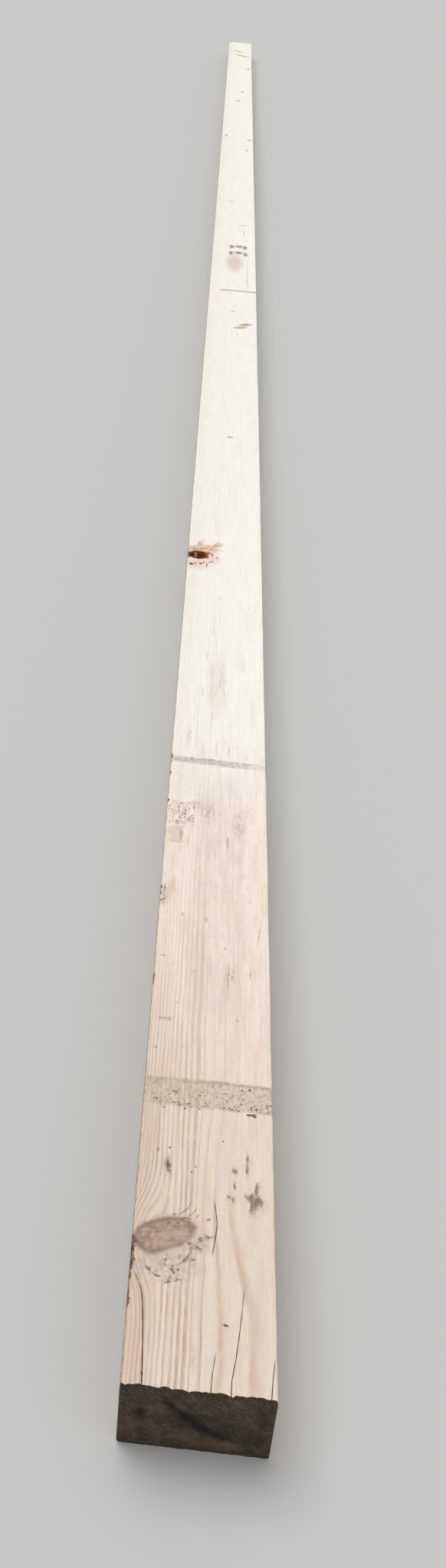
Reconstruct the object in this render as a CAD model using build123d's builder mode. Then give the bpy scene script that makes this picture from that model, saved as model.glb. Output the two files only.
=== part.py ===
from build123d import *
import os

os.makedirs("parts", exist_ok=True)

# Sawn section and length of the stock, in millimetres
plank_width = 75.0
plank_thickness = 47.0
plank_length = 5100.0

# The saw leaves the four long arrises almost sharp
arris_radius = 0.8

# The near end was cut out of square: its right corner stands further out than its left one
near_end_skew = 4.4

# Places along the plank are measured from the outermost corner of the near end

# Socket of a dead knot beside the left arris, sunk along the line of the old branch
socket_from_near_end = 930.0
socket_from_left = 11.2
socket_across = 18.5
socket_along = 19.0
socket_depth = 7.0
socket_lean = 15.0
socket_floor_radius = 2.0

# Bark edge torn off the left arris beside the large knot: how far the scoop reaches into
# the top face and down the left face
torn_from_near_end = 79.0
torn_length = 40.0
torn_width = 1.8
torn_depth = 5.0

# Drying splits in the top face that open at the near end. Each has its place across the
# plank at its mouth and at its tip, and its length along the plank.
split_width = 0.6
split_depth = 4.0
left_split_mouth_from_left = 10.1
left_split_tip_from_left = 2.6
left_split_length = 66.0
middle_split_mouth_from_centre = 5.2
middle_split_tip_from_centre = 7.4
middle_split_length = 22.0
right_split_mouth_from_right = 22.2
right_split_tip_from_right = 16.6
right_split_length = 58.0
edge_split_mouth_from_right = 3.3
edge_split_tip_from_right = 1.2
edge_split_length = 20.0

# Short split beside the large knot, bowed away from it and closed at both tips
knot_split_from_near_end = 97.0
knot_split_from_centre = 5.2
knot_split_length = 32.0
knot_split_bow = 1.7
knot_split_width = 0.5
knot_split_depth = 2.5

# Places that follow from the sizes above: the origin is under the middle of the plank
left_side = -plank_width / 2
right_side = plank_width / 2
near_end = -plank_length / 2
far_end = plank_length / 2


def end_line(x):
    """How far along the plank the skewed near end lies at a place across it."""
    return near_end + near_end_skew * (right_side - x) / plank_width


def end_split(mouth_x, tip_x, length):
    """Outline of a split: widest at the near end, curling with the grain to a sharp tip."""
    mouth_y = end_line(mouth_x) - split_width
    tip_y = end_line(mouth_x) + length
    turn_x = mouth_x + 0.3 * (tip_x - mouth_x)
    turn_y = mouth_y + 0.65 * (tip_y - mouth_y)
    mouth_left = (mouth_x - split_width / 2, mouth_y)
    mouth_right = (mouth_x + split_width / 2, mouth_y)
    with BuildSketch(Plane.XY.offset(plank_thickness)) as outline:
        with BuildLine():
            Spline(mouth_left, (turn_x - split_width / 3, turn_y), (tip_x, tip_y))
            Spline(mouth_right, (turn_x + split_width / 3, turn_y), (tip_x, tip_y))
            Line(mouth_left, mouth_right)
        make_face()
    return outline.sketch


with BuildPart() as plank:
    # Plan of the stock with its skewed near end, raised to the full thickness
    with BuildSketch():
        with BuildLine():
            Polyline(
                (left_side, end_line(left_side)),
                (right_side, end_line(right_side)),
                (right_side, far_end),
                (left_side, far_end),
                close=True,
            )
        make_face()
    extrude(amount=plank_thickness)
    fillet(plank.edges().filter_by(Axis.Y), radius=arris_radius)

    # Splits that open at the near end
    end_splits = [
        end_split(
            left_side + left_split_mouth_from_left,
            left_side + left_split_tip_from_left,
            left_split_length,
        ),
        end_split(
            middle_split_mouth_from_centre,
            middle_split_tip_from_centre,
            middle_split_length,
        ),
        end_split(
            right_side - right_split_mouth_from_right,
            right_side - right_split_tip_from_right,
            right_split_length,
        ),
        end_split(
            right_side - edge_split_mouth_from_right,
            right_side - edge_split_tip_from_right,
            edge_split_length,
        ),
    ]
    for outline in end_splits:
        extrude(outline, amount=-split_depth, mode=Mode.SUBTRACT)

    # Closed split beside the large knot: two arcs between the same tips
    knot_split_near = near_end + knot_split_from_near_end - knot_split_length / 2
    knot_split_far = knot_split_near + knot_split_length
    knot_split_middle = near_end + knot_split_from_near_end
    knot_split_crown = knot_split_from_centre + knot_split_bow
    with BuildSketch(Plane.XY.offset(plank_thickness)):
        with BuildLine():
            ThreePointArc(
                (knot_split_from_centre, knot_split_near),
                (knot_split_crown, knot_split_middle),
                (knot_split_from_centre, knot_split_far),
            )
            ThreePointArc(
                (knot_split_from_centre, knot_split_near),
                (knot_split_crown - knot_split_width, knot_split_middle),
                (knot_split_from_centre, knot_split_far),
            )
        make_face()
    extrude(amount=-knot_split_depth, mode=Mode.SUBTRACT)

    # Bark edge torn away: a shallow round scoop across the left arris, slanting so that it
    # takes more from the left face than from the top face
    torn_slant = Vector(torn_width, 0, torn_depth)
    torn_cut = torn_width * torn_depth / torn_slant.length
    torn_view = Plane(
        origin=(left_side, near_end + torn_from_near_end, plank_thickness),
        x_dir=(0, 1, 0),
        z_dir=torn_slant,
    )
    with BuildSketch(torn_view):
        with BuildLine():
            ThreePointArc((-torn_length / 2, 0), (0, -torn_cut), (torn_length / 2, 0))
            Polyline(
                (torn_length / 2, 0),
                (torn_length / 2, torn_depth),
                (-torn_length / 2, torn_depth),
                (-torn_length / 2, 0),
            )
        make_face()
    extrude(amount=2 * torn_slant.length, both=True, mode=Mode.SUBTRACT)

    # Socket of the dead knot: an oval that leans with the branch, rounded at its floor. It
    # starts above the top face, so that the leaning oval cuts its rim cleanly all round.
    socket_lead = socket_across / 2
    socket_mouth = Plane(
        origin=(left_side + socket_from_left, near_end + socket_from_near_end, plank_thickness),
        x_dir=(1, 0, 0),
        z_dir=(0, 0, 1),
    ).rotated((0, socket_lean, 0))
    with BuildSketch(socket_mouth.offset(-socket_depth)):
        Ellipse(socket_across / 2, socket_along / 2)
    extrude(amount=socket_depth + socket_lead, mode=Mode.SUBTRACT)
    socket_floor = plank.faces(Select.LAST).sort_by(Axis(socket_mouth.origin, socket_mouth.z_dir))[0]
    fillet(socket_floor.edges(), radius=socket_floor_radius)

plank.part.label = "plank"
export_step(plank.part, "parts/plank.step")
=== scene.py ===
import math

import bmesh
import bpy
from mathutils import Matrix, Vector


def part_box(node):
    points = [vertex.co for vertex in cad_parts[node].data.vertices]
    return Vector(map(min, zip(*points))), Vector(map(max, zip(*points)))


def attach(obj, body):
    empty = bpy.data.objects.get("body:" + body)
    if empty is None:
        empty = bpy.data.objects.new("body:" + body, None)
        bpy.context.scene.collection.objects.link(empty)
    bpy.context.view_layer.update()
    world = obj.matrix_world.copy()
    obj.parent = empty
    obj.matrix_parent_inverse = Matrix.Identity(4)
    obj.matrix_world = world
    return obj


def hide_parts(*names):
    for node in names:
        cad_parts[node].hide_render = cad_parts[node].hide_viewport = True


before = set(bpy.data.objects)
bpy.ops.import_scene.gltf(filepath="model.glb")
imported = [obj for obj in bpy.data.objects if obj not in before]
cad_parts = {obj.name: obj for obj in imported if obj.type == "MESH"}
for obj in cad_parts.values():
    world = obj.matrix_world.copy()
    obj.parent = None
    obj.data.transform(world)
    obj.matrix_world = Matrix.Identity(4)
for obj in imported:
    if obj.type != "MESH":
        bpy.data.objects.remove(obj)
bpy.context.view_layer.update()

plank_low, plank_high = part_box("plank")

# Lengths below are written in millimetres, the way the timber was measured, and places on the
# plank are counted across from its middle, along from the left corner of its near end, and up
# from its underside.
MM = 0.001
WIDTH = 75.0
THICKNESS = 47.0
NEAR_END_SKEW = 4.4
NEAR_LEFT_Y = plank_low[1] / MM + NEAR_END_SKEW
LENGTH_FROM_LEFT = (plank_high[1] - plank_low[1]) / MM - NEAR_END_SKEW
ARRIS_RADIUS = 0.8
# The near end is cut this little inside the sawn size, so that no fibre stands out of it
NEAR_END_MARGIN = 0.05


def at(across, along, up=0.0):
    """A place on the plank, given in millimetres, as a point of the scene in metres."""
    return Vector((across * MM, (along + NEAR_LEFT_Y) * MM, up * MM))


def place_of(point):
    """The place on the plank, in millimetres, of a point of the scene."""
    return point.x / MM, point.y / MM - NEAR_LEFT_Y, point.z / MM


def smooth_step(value, low, high):
    """Rises smoothly from 0 at low to 1 at high."""
    part = min(1.0, max(0.0, (value - low) / (high - low)))
    return part * part * (3.0 - 2.0 * part)


# Modelling helpers


def start_fresh():
    """Leaves edit mode and deselects everything, so that an operator acts on new work only."""
    if bpy.context.object and bpy.context.object.mode != "OBJECT":
        bpy.ops.object.mode_set(mode="OBJECT")
    bpy.ops.object.select_all(action="DESELECT")


def work_on(piece):
    """Makes one piece the selected and active one."""
    start_fresh()
    piece.select_set(True)
    bpy.context.view_layer.objects.active = piece


def pick(piece, kind, wanted):
    """In edit mode, selects the vertices, edges or faces that pass a test, and nothing else."""
    bpy.ops.mesh.select_mode(type=kind)
    bpy.ops.mesh.select_all(action="DESELECT")
    shape = bmesh.from_edit_mesh(piece.data)
    parts = {"VERT": shape.verts, "EDGE": shape.edges, "FACE": shape.faces}[kind]
    for part in parts:
        if wanted(part):
            part.select_set(True)
    bmesh.update_edit_mesh(piece.data)


def begin(name, add, **shape):
    """Adds a basic shape and opens it for editing, with all of it selected."""
    start_fresh()
    add(**shape)
    piece = bpy.context.object
    piece.name = name
    bpy.ops.object.mode_set(mode="EDIT")
    bpy.ops.mesh.select_all(action="SELECT")
    return piece


def resize(across, along, up, about=(0, 0, 0)):
    """Resizes what is selected about a point."""
    bpy.ops.transform.resize(value=(across, along, up), center_override=about)


def spans(edge, axis):
    """How far an edge reaches along one axis."""
    return abs(edge.verts[0].co[axis] - edge.verts[1].co[axis])


def saw_through(place, facing, **keep):
    """Cuts the selected faces with a plane."""
    bpy.ops.mesh.select_all(action="SELECT")
    bpy.ops.mesh.bisect(plane_co=place, plane_no=facing, **keep)


def apply_modifier(piece, modifier):
    """Applies a modifier to a piece."""
    work_on(piece)
    bpy.ops.object.modifier_apply(modifier=modifier.name)


def noise_guide(size, stretch):
    """An empty whose scale sets how large and how long a displacement's noise is."""
    guide = bpy.data.objects.new("noise_guide", None)
    bpy.context.scene.collection.objects.link(guide)
    guide.scale = [size * MM * part for part in stretch]
    bpy.context.view_layer.update()
    return guide


# A weight below this is left out
LEAST_WEIGHT = 0.001


def roughen(piece, name, weight_at, depth, size, stretch=(1, 1, 1), direction="NORMAL", middle=0.0):
    """Wears a surface away by up to a depth, where a weight from 0 to 1 says so."""
    group = piece.vertex_groups.new(name=name)
    for vertex in piece.data.vertices:
        weight = weight_at(*place_of(vertex.co))
        if weight > LEAST_WEIGHT:
            group.add([vertex.index], weight, "REPLACE")
    texture = bpy.data.textures.new(name, "CLOUDS")
    texture.noise_scale = 1.0
    texture.noise_depth = 3
    texture.contrast = 1.8
    texture.use_clamp = True
    guide = noise_guide(size, stretch)
    wear = piece.modifiers.new(name, "DISPLACE")
    wear.texture = texture
    wear.texture_coords = "OBJECT"
    wear.texture_coords_object = guide
    wear.vertex_group = name
    wear.mid_level = middle
    wear.direction = direction
    wear.strength = depth * MM * (1.0 if direction == "Y" else -1.0)
    apply_modifier(piece, wear)
    bpy.data.objects.remove(guide)
    bpy.data.textures.remove(texture)
    piece.vertex_groups.remove(piece.vertex_groups[name])


# The sawn plank

# Only the four arrises are longer than this, in metres
LONG_EDGE = 1


def saw_blank():
    """A bar of the full section, its near end cut out of square and its arrises eased."""
    start_fresh()
    bpy.ops.mesh.primitive_cube_add(
        size=1,
        location=(plank_low + plank_high) / 2,
        scale=plank_high - plank_low,
    )
    bar = bpy.context.object
    bar.name = "sawn_plank"
    bar.data.name = "sawn_plank"
    bpy.ops.object.transform_apply(location=True, rotation=True, scale=True)
    bpy.ops.object.mode_set(mode="EDIT")
    end_facing = Vector((-NEAR_END_SKEW, -WIDTH, 0)).normalized()
    cut = at(0, NEAR_END_MARGIN - NEAR_END_SKEW / 2)
    saw_through(cut, end_facing, use_fill=True, clear_outer=True)
    pick(bar, "EDGE", lambda edge: spans(edge, 1) > LONG_EDGE)
    bpy.ops.mesh.bevel(offset=ARRIS_RADIUS * MM, segments=3, affect="EDGES")
    return bar


# Each stretch of the plank: where it ends, and how many rows of faces it gets. The rows are
# close together where the surface is torn, knotty or broken.
STRETCHES = (
    (10, 11),
    (122, 88),
    (265, 60),
    (530, 50),
    (560, 16),
    (895, 34),
    (955, 44),
    (1100, 14),
    (LENGTH_FROM_LEFT, 70),
)
COLUMNS_ACROSS = 46
COLUMNS_UP = 22
# Edges that reach less than this along the plank aren't divided
SHORT_EDGE = 5 * MM


def rule_surface(bar):
    """Divides the bar into columns by sawing and into rows by subdividing each stretch."""
    flat_width = WIDTH - 2 * ARRIS_RADIUS
    flat_height = THICKNESS - 2 * ARRIS_RADIUS
    for step in range(1, COLUMNS_ACROSS):
        saw_through(at(flat_width * (step / COLUMNS_ACROSS - 0.5), 0), (1, 0, 0))
    for step in range(1, COLUMNS_UP):
        saw_through(at(0, 0, ARRIS_RADIUS + flat_height * step / COLUMNS_UP), (0, 0, 1))
    for end, _ in STRETCHES[:-1]:
        saw_through(at(0, end), (0, 1, 0))
    start = 0.0
    for end, rows in STRETCHES:
        middle = at(0, (start + end) / 2).y
        if rows > 1:
            pick(
                bar,
                "EDGE",
                lambda edge: spans(edge, 1) > SHORT_EDGE
                and min(v.co.y for v in edge.verts) < middle < max(v.co.y for v in edge.verts),
            )
            bpy.ops.mesh.subdivide(number_cuts=rows - 1)
        start = end
    bpy.ops.object.mode_set(mode="OBJECT")


def from_near_end(across, along):
    """How far a place lies in from the skewed near end."""
    return along + NEAR_END_SKEW * (across + WIDTH / 2) / WIDTH


def near_end_fibres(across, along, up):
    """Torn fibres on the near end, longest under the top arris."""
    inside = 1.0 - smooth_step(from_near_end(across, along), 0.0, 4.5)
    under_top = smooth_step(up, THICKNESS - 5.0, THICKNESS)
    return inside * (0.3 + 0.7 * under_top)


def far_end_fibres(across, along, up):
    """Torn fibres on the far end."""
    return 0.5 * smooth_step(along, LENGTH_FROM_LEFT - 12.0, LENGTH_FROM_LEFT)


def near_arris(across, up, reach):
    """1 on the four long arrises, falling to 0 at a reach from them."""
    from_side = WIDTH / 2 - abs(across)
    from_face = min(up, THICKNESS - up)
    return 1.0 - smooth_step(max(from_side, from_face), 0.3, reach)


def worn_arrises(across, along, up):
    """The saw leaves the arrises a little broken everywhere."""
    return near_arris(across, up, 2.2)


def torn_grain(across, along, up):
    """Grain lifted by the saw below and beside the large knot."""
    if up < THICKNESS - 1.5:
        return 0.0
    below_knot = smooth_step(along, 54, 64) * (1.0 - smooth_step(along, 76, 86))
    beside = smooth_step(across, -36, -31) * (1.0 - smooth_step(across, 0, 6))
    return below_knot * beside


def pressed_bands(across, along, up):
    """Two places where a bearer was pressed into the top face."""
    if up < THICKNESS - 1.5:
        return 0.0
    slanted = along + 0.05 * across
    first = smooth_step(slanted, 175, 179) * (1.0 - smooth_step(slanted, 197, 201))
    second = smooth_step(slanted, 536, 539) * (1.0 - smooth_step(slanted, 544, 548))
    return max(first, second)


def wear_surface(bar):
    """Roughens the bar: every wear takes wood away, so it stays inside the sawn size."""
    roughen(bar, "near_end_fibres", near_end_fibres, 1.7, 2.6, (1, 6, 2.5), direction="Y")
    roughen(bar, "near_end_splinters", near_end_fibres, 1.3, 0.8, (1, 8, 4), direction="Y")
    roughen(bar, "far_end_fibres", far_end_fibres, -1.6, 2.5, (1, 6, 1), direction="Y")
    roughen(bar, "worn_arrises", worn_arrises, 0.45, 4.0, (1, 5, 1))
    roughen(bar, "torn_grain", torn_grain, 1.0, 3.0, (1, 2.2, 1))
    roughen(bar, "pressed_bands", pressed_bands, 0.5, 5.0, (2, 1, 1))


# Splits, socket and torn places, cut with shaped cutters

# Each split follows the grain: places across and along it, then its greatest width and depth
SPLITS = {
    "left_split": (
        (
            (-27.2, -3), (-27.5, 9), (-28.1, 22), (-28.7, 34),
            (-29.6, 46), (-30.6, 53), (-32.1, 58), (-34.4, 63.5),
        ),
        0.75,
        4,
    ),
    "middle_split": (((5.3, -5), (5.7, 4), (6.3, 11), (7.3, 19.5)), 0.5, 3),
    "right_split": (
        ((15, -6), (15.4, 6), (17.2, 17), (18.3, 26), (19.2, 34), (20.4, 46), (20.9, 56)),
        0.55,
        3.5,
    ),
    "edge_split": (((34, -7), (35.1, 8), (36.3, 18)), 0.55, 3.5),
    "knot_split": (
        ((4.7, 77), (5.4, 83), (6.3, 90), (6.8, 97), (6.1, 104), (5.2, 111)),
        0.6,
        2.5,
    ),
}
# Shares of a split's width and depth: the width of its floor, the width and depth that a
# closed tip starts with, and the least that is left of each along its course
SPLIT_FLOOR = 0.25
SPLIT_TIP = 0.12
SPLIT_TIP_DEPTH = 0.3
SPLIT_LEAST_WIDTH = 0.1
SPLIT_LEAST_DEPTH = 0.6


def split_cutter(name, course, width, depth):
    """A blade that follows a split: wide in its middle, closing at both tips unless it opens
    at the near end."""
    opens_at_end = course[0][1] < 0
    blade = begin(name, bpy.ops.mesh.primitive_plane_add, size=1)
    bpy.ops.transform.rotate(value=math.pi / 2, orient_axis="X", center_override=(0, 0, 0))
    places = [at(across, along, THICKNESS) for across, along in course]
    resize(width * MM, 1, 2 * depth * MM)
    bpy.ops.transform.translate(value=places[0])
    pick(blade, "VERT", lambda vertex: vertex.co.z < places[0].z)
    resize(SPLIT_FLOOR, 1, 1, places[0])
    bpy.ops.mesh.select_all(action="SELECT")
    if not opens_at_end:
        resize(SPLIT_TIP, 1, SPLIT_TIP_DEPTH, places[0])
    bpy.ops.mesh.select_mode(type="FACE")
    grown = 1.0 if opens_at_end else SPLIT_TIP
    steps = len(course) - 1
    for step in range(1, steps + 1):
        move = places[step] - places[step - 1]
        bpy.ops.mesh.extrude_region_move(TRANSFORM_OT_translate={"value": move})
        part = step / steps
        open_part = 1.0 - part**3 if opens_at_end else math.sin(math.pi * part) ** 0.6
        wanted = max(SPLIT_LEAST_WIDTH, open_part)
        deeper = max(SPLIT_LEAST_DEPTH, wanted) / max(SPLIT_LEAST_DEPTH, grown)
        resize(wanted / grown, 1, deeper, places[step])
        grown = wanted
    bpy.ops.mesh.select_all(action="SELECT")
    bpy.ops.mesh.normals_make_consistent(inside=False)
    bpy.ops.object.mode_set(mode="OBJECT")
    return blade


# Bites torn out of the left arris: place along, reach into the top face, length, reach down
ARRIS_BITES = (
    (84, 2.4, 7, 4.2), (76.5, 1.7, 8, 5), (68, 2.1, 6.5, 4), (62, 1.5, 5, 3), (47, 0.9, 9, 2.2),
    (285, 0.8, 12, 2), (366.5, 0.9, 6, 1.6), (380.5, 0.7, 5, 1.6), (546, 2, 9, 4),
    (525, 0.8, 4, 1.5),
)


def bite_cutter(along, reach, length, down):
    """A lump that takes a torn bite out of the left arris."""
    lump = begin("arris_bite", bpy.ops.mesh.primitive_ico_sphere_add, subdivisions=4, radius=1)
    resize(reach * MM, length / 2 * MM, down * MM)
    bpy.ops.transform.translate(value=at(-WIDTH / 2, along, THICKNESS))
    bpy.ops.object.mode_set(mode="OBJECT")
    roughen(lump, "bite", lambda *place: 1.0, 0.35 * reach, 1.1, (1, 3, 1), middle=0.5)
    return lump


# Socket of the dead knot beside the left arris, leaning with its old branch
SOCKET_ACROSS = -26.6
SOCKET_ALONG = 925.5
SOCKET_HALF_WIDTH = 9.2
SOCKET_HALF_LENGTH = 9.3
SOCKET_DEPTH = 7.0
SOCKET_LEAN = 15.0
SOCKET_WALL_ROWS = 10
# The floor is rounded by insets, each this share of the half width and this much lower
SOCKET_FLOOR_RINGS = 5
SOCKET_RING_WIDTH = 0.14
SOCKET_RING_DROP = 0.05


def away_from_left_face(across, along, up):
    """Lets the socket's wall be torn only where enough wood stands behind it."""
    return smooth_step(across, -36.0, -31.0)


def socket_cutter():
    """A leaning plug with a torn floor, deepest at its left side."""
    add = bpy.ops.mesh.primitive_cylinder_add
    plug = begin("dead_knot_socket", add, vertices=56, radius=1, depth=2, end_fill_type="NGON")
    resize(SOCKET_HALF_WIDTH * MM, SOCKET_HALF_LENGTH * MM, SOCKET_DEPTH * MM)
    pick(plug, "FACE", lambda face: face.normal.z < -0.5)
    ring = SOCKET_RING_WIDTH * SOCKET_HALF_WIDTH * MM
    for _ in range(SOCKET_FLOOR_RINGS):
        bpy.ops.mesh.inset(thickness=ring, depth=-SOCKET_RING_DROP * MM)
    pick(plug, "EDGE", lambda edge: spans(edge, 2) > SOCKET_DEPTH * MM)
    bpy.ops.mesh.subdivide(number_cuts=SOCKET_WALL_ROWS - 1)
    tilt = Matrix.Rotation(math.radians(SOCKET_LEAN), 4, "Y")
    bpy.ops.object.mode_set(mode="OBJECT")
    plug.data.transform(Matrix.Translation(at(SOCKET_ACROSS, SOCKET_ALONG, THICKNESS)) @ tilt)
    roughen(plug, "socket_wall", away_from_left_face, 2.4, 3.2, (1.6, 1, 1), middle=0.45)
    roughen(plug, "socket_fibres", away_from_left_face, 1.0, 1.0, (2, 1, 1), middle=0.5)
    return plug


def cut_openings(bar):
    """Cuts every split, bite and socket out of the bar in one go."""
    cutters = [split_cutter(name, *values) for name, values in SPLITS.items()]
    cutters += [bite_cutter(*values) for values in ARRIS_BITES]
    cutters.append(socket_cutter())
    start_fresh()
    for cutter in cutters:
        cutter.select_set(True)
    bpy.context.view_layer.objects.active = cutters[0]
    bpy.ops.object.join()
    cutter = bpy.context.object
    opening = bar.modifiers.new("openings", "BOOLEAN")
    opening.operation = "DIFFERENCE"
    opening.solver = "EXACT"
    opening.use_self = True
    opening.object = cutter
    apply_modifier(bar, opening)
    bpy.data.objects.remove(cutter)


# Points closer than this are one, and faces that meet at less than this angle are shaded smooth
MERGE_DISTANCE = 0.01 * MM
SMOOTH_ANGLE = math.radians(32)


def finish_plank(bar):
    """Merges doubles, clears slivers, points the faces outwards and shades the flat ones smooth."""
    work_on(bar)
    bpy.ops.object.mode_set(mode="EDIT")
    bpy.ops.mesh.select_all(action="SELECT")
    bpy.ops.mesh.remove_doubles(threshold=MERGE_DISTANCE)
    bpy.ops.mesh.quads_convert_to_tris()
    bpy.ops.mesh.dissolve_degenerate(threshold=MERGE_DISTANCE)
    bpy.ops.mesh.select_all(action="DESELECT")
    bpy.ops.mesh.select_interior_faces()
    bpy.ops.mesh.delete(type="FACE")
    bpy.ops.mesh.select_all(action="SELECT")
    bpy.ops.mesh.delete_loose(use_verts=True, use_edges=True, use_faces=False)
    bpy.ops.mesh.select_all(action="SELECT")
    bpy.ops.mesh.normals_make_consistent(inside=False)
    bpy.ops.object.mode_set(mode="OBJECT")
    bpy.ops.object.shade_smooth_by_angle(angle=SMOOTH_ANGLE)


# Shader building helpers


def colour(red, green, blue):
    """A screen colour, 0 to 255 each, as the linear colour that a shader takes."""

    def linear(part):
        part = part / 255
        return part / 12.92 if part <= 0.04045 else ((part + 0.055) / 1.055) ** 2.4

    return (linear(red), linear(green), linear(blue), 1.0)


# Nodes are laid out in rows, so that the tree can be read
NODES_PER_ROW = 14
NODE_STEP_ACROSS = 200
NODE_STEP_DOWN = -320
# Soft noise keeps to the middle of its range, and this spreads it over all of a sway
NOISE_SPREAD = 2.4


class Wiring:
    """Adds nodes to one shader tree. A value that is a socket is linked, any other is set.

    A node is added after the nodes that feed it, and textures read only the plain place, not
    one that noise has moved: the renderer works through a large tree in that order, and runs
    out of room when much has to wait.
    """

    def __init__(self, tree):
        self.tree = tree
        self.count = 0
        self.entry = {}
        self.place = None

    def add(self, kind, **settings):
        node = self.tree.nodes.new("ShaderNode" + kind)
        row, column = divmod(self.count, NODES_PER_ROW)
        node.location = (NODE_STEP_ACROSS * column, NODE_STEP_DOWN * row)
        self.count += 1
        for name, value in settings.items():
            setattr(node, name, value)
        return node

    def join(self, value, socket):
        if isinstance(value, bpy.types.NodeSocket):
            self.tree.links.new(value, socket)
        elif value is not None:
            socket.default_value = value

    def feed(self, node, values):
        """Joins values to a node's inputs, in their order or by name."""
        for name, value in values.items() if isinstance(values, dict) else enumerate(values):
            self.join(value, node.inputs[name])
        return node.outputs

    def math(self, operation, *values):
        return self.feed(self.add("Math", operation=operation), values)[0]

    def times(self, value, *factors):
        for factor in factors:
            value = self.math("MULTIPLY", value, factor)
        return value

    def plus(self, value, *others):
        for other in others:
            value = self.math("ADD", value, other)
        return value

    def minus(self, value, other):
        return self.math("SUBTRACT", value, other)

    def fit(self, value, factor, shift):
        """A value times a factor, plus a shift."""
        return self.math("MULTIPLY_ADD", value, factor, shift)

    def vector(self, operation, first, second=None, scale=None):
        node = self.add("VectorMath", operation=operation)
        outputs = self.feed(node, (first, second, None, scale))
        return outputs[1 if operation in ("DOT_PRODUCT", "LENGTH") else 0]

    def split(self, vector):
        return tuple(self.feed(self.add("SeparateXYZ"), (vector,)))

    def combine(self, x, y, z):
        return self.feed(self.add("CombineXYZ"), (x, y, z))[0]

    def rise(self, value, low, high, start=0, end=1):
        """Goes smoothly from start, where the value is low, to end, where it is high."""
        node = self.add("MapRange", interpolation_type="SMOOTHSTEP", clamp=False)
        return self.feed(node, (value, low, high, start, end))[0]

    def fall(self, value, low, high):
        """Goes smoothly from 1, where the value is low, to 0, where it is high."""
        return self.rise(value, low, high, 1, 0)

    def within(self, value, low, high, soft):
        """1 between two values, fading over a soft width inside them."""
        return self.times(self.rise(value, low, low + soft), self.fall(value, high - soft, high))

    def noise(self, size, detail, rough, stretch=(1, 1, 1), offset=(0, 0, 0), curl=0, place=None):
        """Soft noise about 0.5, whose lumps are about a size in millimetres."""
        mapping = self.add("Mapping")
        self.join(place or self.place, mapping.inputs["Vector"])
        mapping.inputs["Location"].default_value = offset
        mapping.inputs["Scale"].default_value = [1.0 / (size * part) for part in stretch]
        values = {"Vector": mapping.outputs[0], "Scale": 1, "Detail": detail, "Roughness": rough}
        return self.feed(self.add("TexNoise"), {**values, "Distortion": curl})["Fac"]

    def sway(self, size, reach, stretch=(1, 1, 1), offset=(0, 0, 0)):
        """Noise from minus a reach to plus a reach, in millimetres."""
        spread = NOISE_SPREAD * reach
        return self.fit(self.noise(size, 2, 0.5, stretch, offset), spread, -spread / 2)

    def mix(self, factor, under, over):
        """Mixes two colours, which may be written as screen colours."""
        node = self.add("Mix", data_type="RGBA")
        for value, index in ((factor, 0), (under, 6), (over, 7)):
            self.join(colour(*value) if isinstance(value, tuple) else value, node.inputs[index])
        return node.outputs[2]

    def use(self, group, **values):
        """Places a node group at the plain place, and sets its inputs, named with _ for each
        blank."""
        named = {name.replace("_", " "): value for name, value in values.items()}
        if self.place:
            named.setdefault("Place", self.place)
        return self.feed(self.add("Group", node_tree=group), named)

    def give(self, **values):
        """Makes the group's outputs, named with _ for each blank, and returns the group."""
        for name, value in values.items():
            kind = "NodeSocketVector" if value.type == "VECTOR" else "NodeSocketFloat"
            self.tree.interface.new_socket(name.replace("_", " "), in_out="OUTPUT", socket_type=kind)
        ends = self.tree.nodes.new("NodeGroupOutput")
        for value, end in zip(values.values(), ends.inputs):
            self.join(value, end)
        return self.tree


def new_group(name, takes):
    """Starts a shader node group that takes inputs with these defaults, and returns its wiring.
    A place is a vector without a default."""
    group = bpy.data.node_groups.new(name, "ShaderNodeTree")
    for label, default in takes.items():
        kind = "NodeSocketFloat" if isinstance(default, (int, float)) else "NodeSocketVector"
        socket = group.interface.new_socket(label, in_out="INPUT", socket_type=kind)
        if default is not None:
            socket.default_value = default
    w = Wiring(group)
    w.entry = group.nodes.new("NodeGroupInput").outputs
    w.place = w.entry.get("Place")
    return w


# Shared effects


def make_plank_place():
    """Object coordinates turned into millimetres across, along and up the plank."""
    w = new_group("Plank Place", {})
    source = w.add("TexCoord").outputs["Object"]
    shifted = w.vector("SUBTRACT", source, (0, NEAR_LEFT_Y * MM, 0))
    return w.give(Place=w.vector("SCALE", shifted, scale=1.0 / MM))


def make_branch():
    """A branch grown through the plank: a round stem that starts at a heart and leans."""
    takes = {"Heart": (0, 0, 0), "Lean": (0, 0, -1), "Radius": 10, "Taper": 0, "Roughness": 0.6}
    w = new_group("Branch", {"Place": None, **takes})
    away = w.vector("SUBTRACT", w.place, w.entry["Heart"])
    along = w.vector("DOT_PRODUCT", away, w.entry["Lean"])
    on_stem = w.vector("SCALE", w.entry["Lean"], scale=along)
    across = w.vector("LENGTH", w.vector("SUBTRACT", away, on_stem))
    ragged = w.times(w.sway(5, 1.6), w.entry["Roughness"])
    stem = w.fit(along, w.entry["Taper"], w.entry["Radius"])
    distance = w.plus(w.minus(across, stem), ragged)
    turns = w.times(w.plus(across, w.sway(7, 1.2)), 4.6)
    rings = w.fit(w.math("SINE", turns), 0.5, 0.5)
    inside = w.fall(distance, -0.5, 0.3)
    return w.give(Inside=inside, Edge_Distance=distance, Rings=rings, Along=along)


# The heart of the tree lay above the right arris, outside the plank
PITH_ACROSS = 30.0
PITH_UP = 88.0


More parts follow.
